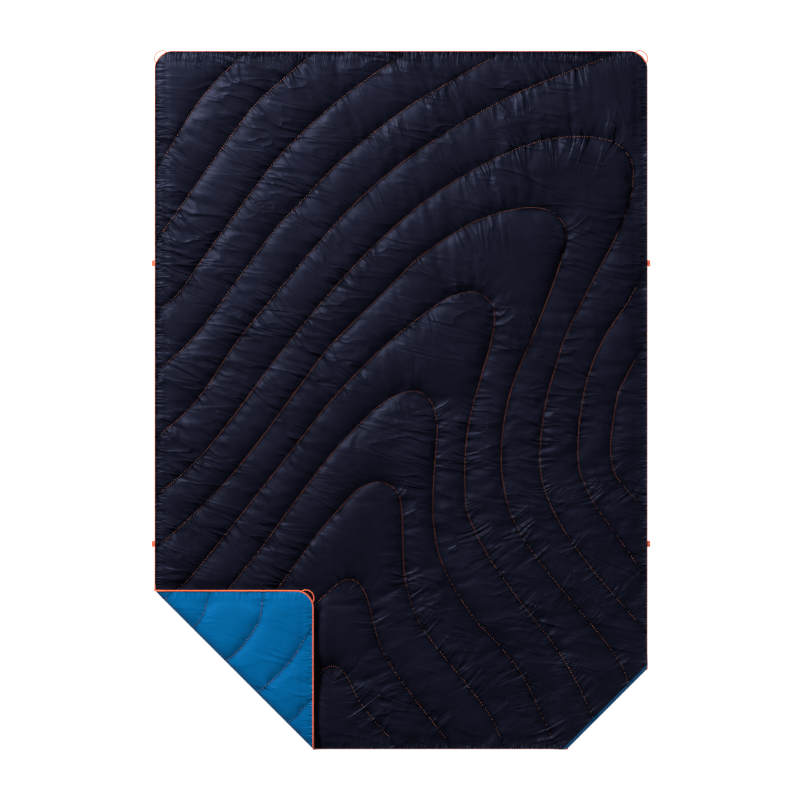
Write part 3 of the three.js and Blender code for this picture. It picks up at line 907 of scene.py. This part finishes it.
def nylon(name, dark, light, roughness, gloss, tint, wrinkle_depth, creasing):
    material, tree, shader, place = new_material(name)
    tone = group_node(tree, tone_group)
    tree.links.new(place.outputs["Object"], tone.inputs["Vector"])
    satin = map_range(tree, tone.outputs["Mask"], *roughness)
    tree.links.new(widened(tree, satin), shader.inputs["Roughness"])
    wrinkles = group_node(tree, wrinkle_group)
    for label, amount in creasing.items():
        wrinkles.inputs[label].default_value = amount
    tree.links.new(place.outputs["Object"], wrinkles.inputs["Vector"])
    for label, map_name in (("Seam", "seam"), ("Edge", "edge")):
        own_map = tree.nodes.new("ShaderNodeUVMap")
        own_map.uv_map = map_name
        tree.links.new(own_map.outputs[0], wrinkles.inputs[label])
    # Painted shade: the colour darkens towards each seam, standing in for the shade in the grooves.
    groove = tree.nodes.new("ShaderNodeMix")
    groove.data_type = "RGBA"
    groove.inputs["B"].default_value = (*(GROOVE_SHADE * value for value in dark), 1)
    tree.links.new(wrinkles.outputs["Painted Groove Shade"], groove.inputs["Factor"])
    tree.links.new(two_tones(tree, tone.outputs["Mask"], dark, light), groove.inputs["A"])
    tree.links.new(groove.outputs["Result"], shader.inputs["Base Color"])
    weave = group_node(tree, weave_group)
    tree.links.new(place.outputs["Object"], weave.inputs["Vector"])
    creased = bump(tree, wrinkles.outputs["Height"], wrinkle_depth)
    woven = bump(tree, weave.outputs["Height"], WEAVE_DEPTH, creased)
    tree.links.new(woven, shader.inputs["Normal"])
    shader.inputs["Specular IOR Level"].default_value = gloss
    shader.inputs["Specular Tint"].default_value = (*tint, 1)
    shader.inputs["Sheen Weight"].default_value = SHEEN
    shader.inputs["Sheen Roughness"].default_value = SHEEN_ROUGHNESS
    shader.inputs["Sheen Tint"].default_value = (*light, 1)
    return material


# %% Cord
BRAID_SHADE = 0.15
BRAID_DEPTH = 0.00025
CORD_ROUGHNESS = 0.62


def twisted(name, dark, light, strands, pitch):
    """Cord or piping: strands that wind round it, drawn on its own map of length and turn."""
    material, tree, shader, place = new_material(name)
    along = tree.nodes.new("ShaderNodeUVMap")
    along.uv_map = "cord"
    map_parts = tree.nodes.new("ShaderNodeSeparateXYZ")
    tree.links.new(along.outputs[0], map_parts.inputs[0])
    length_turns = math_node(tree, "MULTIPLY", map_parts.outputs[0], 2 * math.pi / pitch)
    round_turns = math_node(tree, "MULTIPLY", map_parts.outputs[1], 2 * math.pi * strands)
    one_way = math_node(tree, "SINE", math_node(tree, "ADD", length_turns, round_turns))
    other_way = math_node(tree, "SINE", math_node(tree, "SUBTRACT", length_turns, round_turns))
    braid = math_node(tree, "MULTIPLY", one_way, other_way)
    tone = group_node(tree, tone_group)
    tree.links.new(place.outputs["Object"], tone.inputs["Vector"])
    shade = math_node(tree, "MULTIPLY_ADD", braid, BRAID_SHADE)
    tree.links.new(tone.outputs["Mask"], shade.node.inputs[2])
    tree.links.new(two_tones(tree, shade, dark, light), shader.inputs["Base Color"])
    tree.links.new(bump(tree, braid, BRAID_DEPTH), shader.inputs["Normal"])
    shader.inputs["Roughness"].default_value = CORD_ROUGHNESS
    return material


# %% The nylons and cords
# The groove width in each creasing table is how far from each seam the painted groove shade reaches.
NAVY = nylon("navy_nylon", dark=(0.0033, 0.0036, 0.0078), light=(0.0056, 0.0062, 0.0142),
             roughness=(0.42, 0.52), gloss=0.075, tint=(0.5, 0.56, 1.0), wrinkle_depth=0.0066,
             creasing={"Reach": 0.05, "Free": 0.5, "Gathers": 0.8, "Painted Shade Width": 0.008})
BLUE = nylon("blue_nylon", dark=(0.0, 0.084, 0.232), light=(0.0, 0.1, 0.276),
             roughness=(0.38, 0.5), gloss=0.12, tint=(0.5, 0.85, 1.0), wrinkle_depth=0.006,
             creasing={"Reach": 0.015, "Free": 0.2, "Gathers": 0.35, "Painted Shade Width": 0.0022})
PIPING_MATERIAL = twisted("orange_piping", (0.62, 0.085, 0.026), (0.9, 0.15, 0.05), 3, 0.0042)
LOOP_MATERIAL = twisted("orange_braided_cord", (0.6, 0.08, 0.024), (0.9, 0.15, 0.05), 4, 0.003)
print("materials:", NAVY.name, BLUE.name, PIPING_MATERIAL.name, LOOP_MATERIAL.name)

# %% [markdown]
# Thread and webbing are plainer: a soft orange with fine threads across them. Wadding is a pale
# tangle of fibre.

# %% Thread, webbing and wadding materials
MATT = 0.7


def plain_fibre(name, dark, light, pitch, depth):
    material, tree, shader, place = new_material(name)
    tone = group_node(tree, tone_group)
    tree.links.new(place.outputs["Object"], tone.inputs["Vector"])
    tree.links.new(two_tones(tree, tone.outputs["Mask"], dark, light), shader.inputs["Base Color"])
    weave = group_node(tree, weave_group)
    weave.inputs["Pitch"].default_value = pitch
    tree.links.new(place.outputs["Object"], weave.inputs["Vector"])
    tree.links.new(bump(tree, weave.outputs["Height"], depth), shader.inputs["Normal"])
    shader.inputs["Roughness"].default_value = MATT
    return material


THREAD = plain_fibre("orange_thread", (0.46, 0.13, 0.08), (0.7, 0.22, 0.14), 0.0005, 0.0001)
WEBBING = plain_fibre("orange_webbing", (0.6, 0.08, 0.025), (0.86, 0.14, 0.05), 0.0014, 0.0003)
WADDING = plain_fibre("pale_wadding", (0.62, 0.6, 0.56), (0.82, 0.8, 0.76), 0.002, 0.0006)
print("materials:", THREAD.name, WEBBING.name, WADDING.name)

# %% [markdown]
# ## Stitches
# A lockstitch shows as short dashes in the bottom of each groove, on both sides of the blanket.
# Geometry Nodes puts one small rounded dash at each step along the sewn lines and turns it to follow
# the line.

# %% The stitch tree
STITCH_PITCH = 0.0066
STITCH_LENGTH = 0.0031
STITCH_WIDTH = 0.0009
DASH_SEGMENTS = 5
DASH_RINGS = 3


def stitch_tree():
    tree = bpy.data.node_groups.new("stitches_along_lines", "GeometryNodeTree")
    sockets = tree.interface
    sockets.new_socket("Geometry", in_out="INPUT", socket_type="NodeSocketGeometry")
    for label, value in (("Pitch", STITCH_PITCH), ("Length", STITCH_LENGTH), ("Width", STITCH_WIDTH)):
        sockets.new_socket(label, in_out="INPUT", socket_type="NodeSocketFloat").default_value = value
    sockets.new_socket("Material", in_out="INPUT", socket_type="NodeSocketMaterial")
    sockets.new_socket("Geometry", in_out="OUTPUT", socket_type="NodeSocketGeometry")
    start, end = tree.nodes.new("NodeGroupInput"), tree.nodes.new("NodeGroupOutput")
    as_curve = tree.nodes.new("GeometryNodeMeshToCurve")
    stations = tree.nodes.new("GeometryNodeCurveToPoints")
    stations.mode = "LENGTH"
    aim = tree.nodes.new("FunctionNodeAlignRotationToVector")
    aim.axis = "X"
    dash = tree.nodes.new("GeometryNodeMeshUVSphere")
    dash.inputs["Segments"].default_value = DASH_SEGMENTS
    dash.inputs["Rings"].default_value = DASH_RINGS
    dash.inputs["Radius"].default_value = 0.5
    size = tree.nodes.new("ShaderNodeCombineXYZ")
    put = tree.nodes.new("GeometryNodeInstanceOnPoints")
    real = tree.nodes.new("GeometryNodeRealizeInstances")
    paint = tree.nodes.new("GeometryNodeSetMaterial")
    link = tree.links.new
    link(start.outputs["Geometry"], as_curve.inputs["Mesh"])
    link(as_curve.outputs["Curve"], stations.inputs["Curve"])
    link(start.outputs["Pitch"], stations.inputs["Length"])
    link(stations.outputs["Tangent"], aim.inputs["Vector"])
    link(stations.outputs["Points"], put.inputs["Points"])
    link(dash.outputs["Mesh"], put.inputs["Instance"])
    link(aim.outputs["Rotation"], put.inputs["Rotation"])
    for socket, label in zip(size.inputs, ("Length", "Width", "Width")):
        link(start.outputs[label], socket)
    link(size.outputs[0], put.inputs["Scale"])
    link(put.outputs["Instances"], real.inputs["Geometry"])
    link(real.outputs["Geometry"], paint.inputs["Geometry"])
    link(start.outputs["Material"], paint.inputs["Material"])
    link(paint.outputs["Geometry"], end.inputs["Geometry"])
    return tree


STITCHES = stitch_tree()
print("made", STITCHES.name, "with", len(STITCHES.nodes), "nodes")

# %% Use a tree and keep the result


def set_input(modifier, tree, label, value):
    for item in tree.interface.items_tree:
        if item.item_type == "SOCKET" and item.in_out == "INPUT" and item.name == label:
            modifier[item.identifier] = value


def plain_mesh(obj, name):
    """The evaluated object as a plain mesh object with no modifiers."""
    graph = bpy.context.evaluated_depsgraph_get()
    mesh = bpy.data.meshes.new_from_object(obj.evaluated_get(graph))
    result = bpy.data.objects.new(name, mesh)
    scene.collection.objects.link(result)
    bpy.data.objects.remove(obj)
    return result


# %% Sewing
THREAD_HEIGHT = 0.9
SEWN_STEP = 2
FEWEST_POINTS = 4
FOLD_MARGIN = 3
LIP_MARGIN = 2


def runs(mask):
    """The stretches of a mask that are true, as slices."""
    padded_mask = np.concatenate([[False], mask, [False]])
    change = np.flatnonzero(padded_mask[1:] != padded_mask[:-1])
    return [slice(a, b) for a, b in zip(change[::2], change[1::2])]


def sew(name, body, inside):
    points, links = [], []
    for line in quilt:
        for stretch in runs(inside(line[:, 0], line[:, 1])):
            part = line[stretch][::SEWN_STEP]
            if len(part) < FEWEST_POINTS:
                continue
            for side in (THREAD_HEIGHT, -THREAD_HEIGHT):
                first = len(points)
                points.extend(LAY[body](part[:, 0], part[:, 1], np.full(len(part), side)) * MM)
                links.extend((first + i, first + i + 1) for i in range(len(part) - 1))
    mesh = bpy.data.meshes.new(name + "_lines")
    mesh.from_pydata([tuple(p) for p in points], links, [])
    obj = bpy.data.objects.new(name + "_lines", mesh)
    scene.collection.objects.link(obj)
    modifier = obj.modifiers.new("stitches", "NODES")
    modifier.node_group = STITCHES
    set_input(modifier, STITCHES, "Material", THREAD)
    result = plain_mesh(obj, name)
    result.data.shade_smooth()
    print(name, "has", len(result.data.polygons) // (DASH_SEGMENTS * DASH_RINGS), "stitches")
    return result


# %% Sew the lines


def sewn_on_blanket(x, y):
    return (inside_front(x, y) > FOLD_MARGIN) & (inside_under(x, y) > LIP + LIP_MARGIN)


stitches = {
    "blanket": sew("quilt_stitches", "blanket", sewn_on_blanket),
    "front_flap": sew("front_flap_stitches", "front_flap",
                      lambda x, y: inside_front(x, y) < -FOLD_MARGIN),
    "under_flap": sew("under_flap_stitches", "under_flap",
                      lambda x, y: inside_under(x, y) < -FOLD_MARGIN),
}

# %% [markdown]
# ## Piping and corner loops
# A thin cord runs in the edge seam all round, and a short loop of braided cord is caught in the seam
# at each corner. Both are a round section swept along a route, with a map of length and turn that
# the braid follows.

# %% Sweep a cord


def sweep(name, points, radius, material, sides=10):
    """A round cord along points in metres, with closed ends."""
    points = np.asarray(points, float)
    tangent = np.gradient(points, axis=0)
    tangent /= np.linalg.norm(tangent, axis=1)[:, None]
    first = np.cross(tangent, (0, 0, 1))
    first /= np.linalg.norm(first, axis=1)[:, None]
    second = np.cross(tangent, first)
    along = np.concatenate([[0], np.cumsum(np.linalg.norm(np.diff(points, axis=0), axis=1))])
    angles = np.linspace(0, 2 * math.pi, sides, endpoint=False)
    rings = (points[:, None] + radius * (np.cos(angles)[None, :, None] * first[:, None]
                                         + np.sin(angles)[None, :, None] * second[:, None]))
    count = len(points)
    last = (count - 1) * sides
    faces, maps = [], []
    for i in range(count - 1):
        for j in range(sides):
            k = (j + 1) % sides
            faces.append((i * sides + j, i * sides + k, (i + 1) * sides + k, (i + 1) * sides + j))
            u0, u1, v0, v1 = along[i], along[i + 1], j / sides, (j + 1) / sides
            maps.extend([(u0, v0), (u0, v1), (u1, v1), (u1, v0)])
    faces.append((0, *reversed(range(1, sides))))
    faces.append((last + sides - 1, *range(last, last + sides - 1)))
    maps.extend([(along[0], 0.5)] * sides + [(along[-1], 0.5)] * sides)
    obj = mesh_object(name, rings.reshape(-1, 3), faces)
    layer = obj.data.uv_layers.new(name="cord")
    layer.data.foreach_set("uv", np.array(maps, np.float32).ravel())
    obj.data.materials.append(material)
    obj.data.shade_smooth()
    return obj


# %% Piping routes
PIPING_STEP = 5.0
END_GAP = 2.4


def corner_arc(side_x, side_y, start, stop):
    centre_x = side_x * (HALF_WIDTH - CORNER_RADIUS - PIPING / 2)
    centre_y = side_y * (HALF_LENGTH - CORNER_RADIUS - PIPING / 2)
    angles = np.radians(np.linspace(start, stop, 16))
    return [(centre_x + CORNER_RADIUS * math.cos(angle), centre_y + CORNER_RADIUS * math.sin(angle))
            for angle in angles]


left_y = FRONT_PIVOT[0] + FRONT_PIVOT[1] + EDGE_X
foot_left_x = FRONT_PIVOT[0] + FRONT_PIVOT[1] + EDGE_Y
right_y = EDGE_X - UNDER_PIVOT[0] + UNDER_PIVOT[1]
foot_right_x = UNDER_PIVOT[0] - UNDER_PIVOT[1] - EDGE_Y
PIPING_ROUTES = {
    "edge_piping_cord": ("blanket", [(-EDGE_X, left_y)] + corner_arc(-1, 1, 180, 90)
                         + corner_arc(1, 1, 90, 0) + [(EDGE_X, right_y)]),
    "foot_piping_cord": ("blanket", [(foot_left_x, -EDGE_Y), (foot_right_x, -EDGE_Y)]),
    "front_flap_piping_cord": ("front_flap", [(-EDGE_X, left_y - END_GAP)]
                               + corner_arc(-1, -1, 180, 270) + [(foot_left_x - END_GAP, -EDGE_Y)]),
    "under_flap_piping_cord": ("under_flap", [(EDGE_X, right_y - END_GAP)]
                               + corner_arc(1, -1, 0, -90) + [(foot_right_x + END_GAP, -EDGE_Y)]),
}
print("routes:", ", ".join(PIPING_ROUTES))

# %% Piping
piping = {}
for name, (body, route) in PIPING_ROUTES.items():
    even = evenly(route, PIPING_STEP)
    placed = LAY[body](even[:, 0], even[:, 1], np.zeros(len(even))) * MM
    piping[name] = sweep(name, placed, PIPING / 2 * MM, PIPING_MATERIAL)
    print(name, round(len(even) * PIPING_STEP * MM, 2), "m")

# %% [markdown]
# Each corner loop is half an oval that stands out of the rounded corner, and its two ends are
# tucked into the seam. It is laid with the blanket or flap at its corner.

# %% Corner loop routes
LOOP_CORD = 3.2
LOOP_HALF_WIDTH = 20.0
LOOP_REACH = 11.0
TUCK = -6.0
BEND_RUN = 3.5


def corner_apex(side_x, side_y):
    """The outermost point of a rounded corner's seam, and the direction out of the corner."""
    outward = np.array([side_x, side_y]) / ROOT2
    outer_radius = CORNER_RADIUS + PIPING / 2
    centre = np.array([side_x * (HALF_WIDTH - outer_radius), side_y * (HALF_LENGTH - outer_radius)])
    return centre + outer_radius * outward, outward


def loop_route(side_x, side_y):
    apex, outward = corner_apex(side_x, side_y)
    across = np.array([-outward[1], outward[0]])
    angles = np.linspace(0, math.pi, 33)[:, None]
    return (apex + across * LOOP_HALF_WIDTH * np.cos(angles)
            + outward * (TUCK + (LOOP_REACH - TUCK) * np.sin(angles)))


print(f"loops {2 * LOOP_HALF_WIDTH:.0f} mm wide, reaching {LOOP_REACH:.0f} mm")

# %% Corner loops
LOOPS = {
    "head_left_loop_cord": ("head_left_loop", "blanket", (-1, 1), "head_left_corner_loop"),
    "head_right_loop_cord": ("head_right_loop", "blanket", (1, 1), "head_right_corner_loop"),
    "front_flap_loop_cord": ("front_flap_loop", "front_flap", (-1, -1), "front_flap_corner_loop"),
    "under_flap_loop_cord": ("under_flap_loop", "under_flap", (1, -1), "under_flap_corner_loop"),
}
for name, (body, laid_with, corner, node) in LOOPS.items():
    route = loop_route(*corner)
    placed = LAY[laid_with](route[:, 0], route[:, 1], np.zeros(len(route))) * MM
    loop = sweep(name, placed, LOOP_CORD / 2 * MM, LOOP_MATERIAL, sides=14)
    apex, outward = corner_apex(*corner)
    bend_ends = np.array([apex - BEND_RUN * outward, apex + BEND_RUN * outward])
    bend_from, bend_to = LAY[laid_with](bend_ends[:, 0], bend_ends[:, 1], np.zeros(2)) * MM
    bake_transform(loop)
    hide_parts(node)

# %% [markdown]
# ## Side tabs
# Four short pieces of folded webbing stand out of the long edges. Each is a flat band doubled over,
# so its end is round and a fine slit shows between its two layers. Its sewn end is tucked into the
# seam, and the band has several stations along its length.

# %% The band's outline
TAB_SLIT = 0.35
TAB_TUCK = 4.0
TAB_STATIONS = 8
TAB_ROWS = 9


def tab_profile(length, thickness):
    """The band's doubled-over outline in its own plane: x out of the edge, z up."""
    half = thickness / 2
    slit = TAB_SLIT / 2
    angles = np.linspace(-math.pi / 2, math.pi / 2, 9)
    stations = np.linspace(-TAB_TUCK, length - half, TAB_STATIONS)
    lower = [(x, -half) for x in stations[:-1]]
    end = [(length - half + half * math.cos(a), half * math.sin(a)) for a in angles]
    upper = [(x, half) for x in stations[-2::-1]]
    slit_roof = [(x, slit) for x in stations]
    slit_floor = [(x, -slit) for x in stations[::-1]]
    return lower + end + upper + slit_roof + slit_floor


# %% One tab


def tab(name, node, side):
    low, high = (np.array(corner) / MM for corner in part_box(node))
    length = max(abs(low[0]), abs(high[0])) - HALF_WIDTH
    middle = (low[2] + high[2]) / 2
    profile = tab_profile(length, high[2] - low[2])
    ys = np.linspace(low[1], high[1], TAB_ROWS)
    points, faces = [], []
    for y in ys:
        points.extend((side * (HALF_WIDTH + x), y, middle + z) for x, z in profile)
    count = len(profile)
    for i in range(len(ys) - 1):
        for j in range(count):
            k = (j + 1) % count
            faces.append((i * count + j, i * count + k, (i + 1) * count + k, (i + 1) * count + j))
    faces.append(tuple(reversed(range(count))))
    faces.append(tuple((len(ys) - 1) * count + j for j in range(count)))
    obj = mesh_object(name, np.array(points) * MM, faces)
    work = bmesh.new()
    work.from_mesh(obj.data)
    bmesh.ops.recalc_face_normals(work, faces=work.faces[:])
    work.to_mesh(obj.data)
    work.free()
    obj.data.materials.append(WEBBING)
    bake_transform(obj)
    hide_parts(node)
    return obj


# %% The four tabs
for node in ("left_head_tab", "left_foot_tab", "right_head_tab", "right_foot_tab"):
    made = tab(node + "_webbing", node, -1 if node.startswith("left") else 1)
    print(made.name, len(made.data.polygons), "faces")

# %% [markdown]
# ## Bodies and materials
# The shells, wadding, stitches and piping now ride on their bodies, take their materials and hide
# the CAD nodes they stand for.


def attach(obj, body, material, nodes):
    obj.data.materials.clear()
    obj.data.materials.append(material)
    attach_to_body(obj, body)
    if nodes:
        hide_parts(*nodes)


def numbered(stem, numbers):
    return [f"{stem}_{number:02d}" for number in numbers]


# %% The blanket's pieces
attach(face, "blanket", NAVY, ["face_shell"])
attach(lining, "blanket", BLUE, ["lining_shell"])
attach(pads["blanket"], "blanket", WADDING, numbered("fill_channel", range(1, 16)))
attach(stitches["blanket"], "blanket", THREAD, numbered("quilt_thread", range(1, 15)))
attach(piping["edge_piping_cord"], "blanket", PIPING_MATERIAL, ["edge_piping"])
attach(piping["foot_piping_cord"], "blanket", PIPING_MATERIAL, ["foot_piping"])
print("declared", face.name, "and", lining.name)

# %% The flaps' pieces
thread_numbers = {"front_flap": (9, 10, 11, 12), "under_flap": (7, 8)}
for body, (flap_face, flap_lining) in flap_shells.items():
    attach(flap_face, body, NAVY, [body + "_face"])
    attach(flap_lining, body, BLUE, [body + "_lining"])
    attach(pads[body], body, WADDING, [body + "_fill"])
    attach(stitches[body], body, THREAD,
           numbered(body + "_quilt_thread", thread_numbers[body]))
    attach(piping[body + "_piping_cord"], body, PIPING_MATERIAL, [body + "_piping"])
print("attached the pieces of", ", ".join(pads))

# %% [markdown]
# ## Floor and light
# The floor is a plain pale sheet. One broad soft light stands beyond the head end, to the left, so
# it grazes the channels and their upper left slopes catch it. A faint low one at the foot right
# picks out the rolled lip, and a pale sky fills the rest.

# %% Floor
FLOOR_REACH = 15
FLOOR_TONE = 0.3
FLOOR_GLOW = 0.97
floor_corners = [(side_x * FLOOR_REACH, side_y * FLOOR_REACH, 0)
                 for side_x, side_y in ((-1, -1), (1, -1), (1, 1), (-1, 1))]
floor = mesh_object("floor", floor_corners, [(0, 1, 2, 3)])
floor_material, _, floor_shader, _ = new_material("pale_floor")
floor_shader.inputs["Base Color"].default_value = (FLOOR_TONE, FLOOR_TONE, FLOOR_TONE, 1)
floor_shader.inputs["Roughness"].default_value = 0.8
floor_shader.inputs["Specular IOR Level"].default_value = 0.1
floor_shader.inputs["Emission Color"].default_value = (1, 1, 1, 1)
floor_shader.inputs["Emission Strength"].default_value = FLOOR_GLOW
floor.data.materials.append(floor_material)
print("floor", 2 * FLOOR_REACH, "m across")

# %% Lights
SKY_STRENGTH = 0.05
LIGHTS = {
    "key": ((-2.9, 3.5, 2.35), (0.15, 0.15, 0), (2.0, 1.0), 820),
    "rim": ((1.7, -2.0, 0.9), (0.6, -0.8, 0), (0.9, 0.5), 13),
}


def area_light(name, place, target, size, power):
    data = bpy.data.lights.new(name, "AREA")
    data.shape = "RECTANGLE"
    data.size, data.size_y = size
    data.energy = power
    light = bpy.data.objects.new(name, data)
    light.location = place
    aim = np.array(target, float) - np.array(place, float)
    yaw = math.atan2(aim[1], aim[0])
    pitch = math.atan2(math.hypot(aim[0], aim[1]), -aim[2])
    light.rotation_euler = (pitch, 0, yaw - math.pi / 2)
    scene.collection.objects.link(light)


for light_name, values in LIGHTS.items():
    area_light(light_name, *values)
world = bpy.data.worlds.new("sky")
world.use_nodes = True
world.node_tree.nodes["Background"].inputs["Color"].default_value = (1, 1, 1, 1)
world.node_tree.nodes["Background"].inputs["Strength"].default_value = SKY_STRENGTH
scene.world = world
scene.view_settings.view_transform = "Standard"
print("lit with", len(LIGHTS), "lights and a pale sky")
